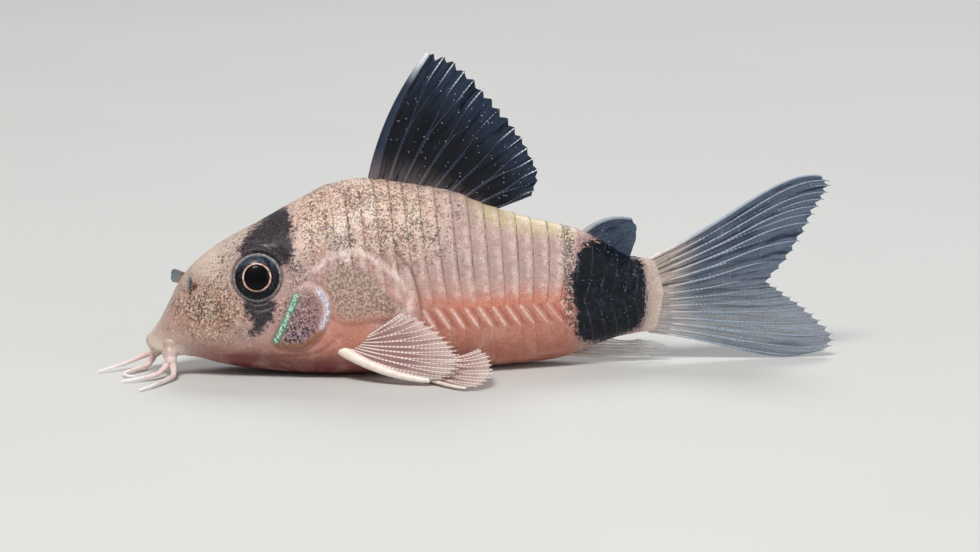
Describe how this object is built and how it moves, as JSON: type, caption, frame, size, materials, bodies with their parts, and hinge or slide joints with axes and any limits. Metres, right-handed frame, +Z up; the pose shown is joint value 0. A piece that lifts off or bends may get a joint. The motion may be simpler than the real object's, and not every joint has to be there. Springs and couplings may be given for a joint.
{
  "type": "panda corydoras catfish model",
  "caption": "Life-size still model of a small armoured catfish resting on its belly, with a black eye mask, dark back fin and dark tail stalk",
  "frame": {"origin": "middle of the whole fish's box in X and Y, at the resting level under the belly", "axes": "+X towards the tail, -X towards the snout, -Y is the fish's left side, +Z up"},
  "size_m": [0.0564, 0.02, 0.0239],
  "materials": {
    "skin": "wet bony plates, salmon pink with fine dark speckles, a black mask and a black band on the tail stalk",
    "eye": "clear wet cornea over a dark iris with a thin gold ring",
    "barbel": "soft wet pinkish-white skin",
    "dark_fin": "blue-black membrane between fine dark rays, pale at the ray tips",
    "clear_fin": "translucent blue-grey membrane between beaded white rays",
    "pale_fin": "translucent whitish-pink membrane between beaded cream rays"
  },
  "bodies": {
    "root": {"head": "skin", "gill_cover_left": "skin", "gill_cover_right": "skin", "trunk": "skin", "tail_stalk": "skin", "eye_left": "eye", "eye_right": "eye", "barbel_left_front": "barbel", "barbel_left_rear": "barbel", "barbel_right_front": "barbel", "barbel_right_rear": "barbel", "dorsal_fin": "dark_fin", "adipose_fin": "dark_fin", "caudal_fin": "clear_fin", "anal_fin": "clear_fin", "pectoral_fin_left": "pale_fin", "pectoral_fin_right": "pale_fin", "pelvic_fin_left": "pale_fin", "pelvic_fin_right": "pale_fin"}
  },
  "joints": []
}
